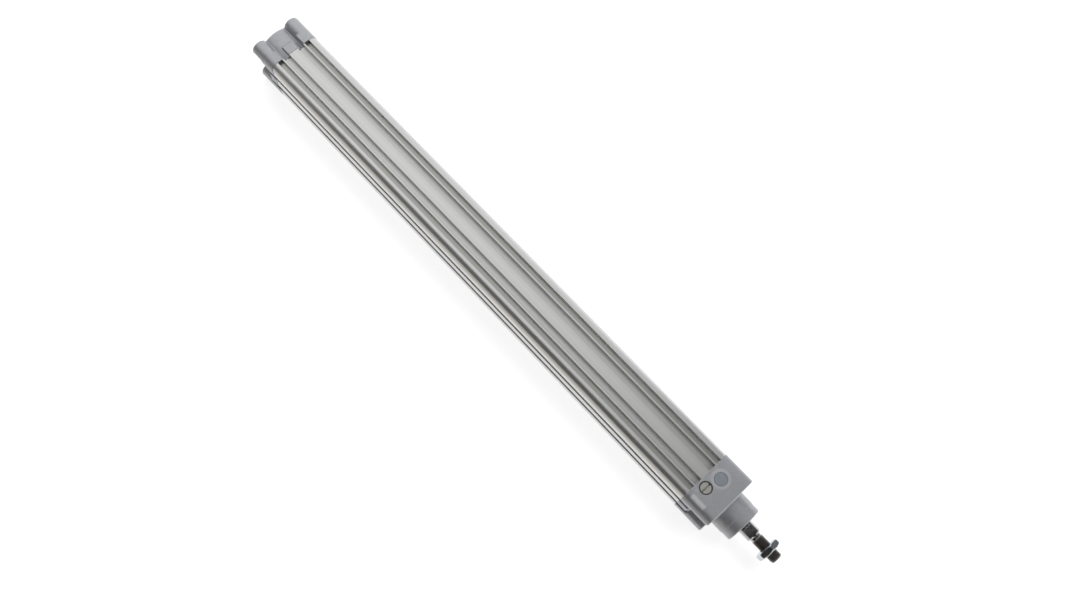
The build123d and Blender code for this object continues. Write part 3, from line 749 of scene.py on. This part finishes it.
# %% The rod's angles: two move onto each flat's edges, so that the flats end in clean lines
angles = np.linspace(0.0, 2.0 * np.pi, 96, endpoint=False)
half_flats = 5.0
flat_turn = math.radians(14.0)
half_opening = math.acos(half_flats / rod_radius)
for flat_middle in (np.pi / 2.0 + flat_turn, 3.0 * np.pi / 2.0 + flat_turn):
    for edge in (flat_middle - half_opening, flat_middle + half_opening):
        angles[np.argmin(np.abs(angles - edge))] = edge
print("edges of the flats at", round(math.degrees(half_opening), 1), "degrees from their middles")

# %% The rod: its line turned about X, with the thread and the flats taken off the radius
X, A = np.meshgrid(along, angles, indexing="ij")
R = np.repeat(radius[:, None], len(angles), axis=1)
on_thread = (X > thread_start) & (X <= thread_end)
R = np.where(on_thread, crest_radius - groove_depth * thread_depth(X, A, rod_pitch), R)
reach_flat = half_flats / np.maximum(np.abs(np.cos(A - (np.pi / 2.0 + flat_turn))), 0.2)
R[first_flat:last_flat + 1] = np.minimum(R, reach_flat)[first_flat:last_flat + 1]
rings = np.stack([X, R * np.cos(A), R * np.sin(A)], axis=-1) * mm
rod = grid_piece("rod_with_thread", [rings], "rod", chrome)
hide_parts("piston_rod")

# %% [markdown]
# ## Cap screws with their inner threads
#
# Each cap is held by four collar screws whose heads are sunk flush and bored with a thread, where a
# foot or flange is screwed on. The same kind of grid makes them: the line runs up the shank, round the
# head, over the rim, down the threaded hole and into the hexagon at its floor. Four copies at the
# corners of the bolt square make one piece for each end.

# %% A cap screw's line
shank_radius, collar_radius, head_radius = 2.73, 2.9, 5.0
head_depth, collar_end, screw_end = 18.0, 26.0, 42.0
hole_radius, hole_groove, hole_pitch = 2.5, 0.42, 1.0
hole_end, hole_floor, hexagon_floor = 15.0, 16.0, 17.4
half_hexagon = 2.0
before_hole = [
    (screw_end, 2.4),
    (screw_end - 0.3, shank_radius),
    (collar_end, shank_radius),
    (collar_end, collar_radius),
    (head_depth, collar_radius),
    (head_depth, head_radius),
    (0.35, head_radius),
    (0.0, head_radius - 0.35),
    (0.0, 3.1),
    (0.55, hole_radius),
]
in_hole = [(x, hole_radius) for x in np.linspace(0.6, hole_end, 150)]
after_hole = [(hole_floor, hole_radius), (hole_floor, half_hexagon), (hexagon_floor, half_hexagon)]
after_hole += [(hexagon_floor, 0.3)]
depth, radius = np.array(before_hole + in_hole + after_hole).T
print("a cap screw's line has", len(depth), "stations")

# %% A cap screw's radius: the line turned, with the inner thread and the hexagon
turns = np.linspace(0.0, 2.0 * np.pi, 48, endpoint=False)
D, A = np.meshgrid(depth, turns, indexing="ij")
R = np.repeat(radius[:, None], len(turns), axis=1)
threaded = slice(len(before_hole), len(before_hole) + len(in_hole))
R[threaded] = (hole_radius + hole_groove * (1.0 - thread_depth(D, A, hole_pitch)))[threaded]
sixth = np.pi / 3.0
hexagon = half_hexagon / np.cos((A + sixth / 2.0) % sixth - sixth / 2.0)
R[-3:-1] = hexagon[-3:-1]
print("a cap screw reaches", D.max(), "mm in, and its threaded hole", hole_end, "mm")

# %% Four cap screws at each end
half_square = 16.25
rear_face = -519.0
for end_name, face, inward in (("front", 0.0, -1.0), ("rear", rear_face, 1.0)):
    copies = [
        np.stack([face + inward * D, y + R * np.cos(A), z + R * np.sin(A)], axis=-1) * mm
        for y in (-half_square, half_square)
        for z in (-half_square, half_square)
    ]
    screws = grid_piece(end_name + "_screws_threaded", copies, "housing", plated)
    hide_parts(end_name + "_cap_screws")
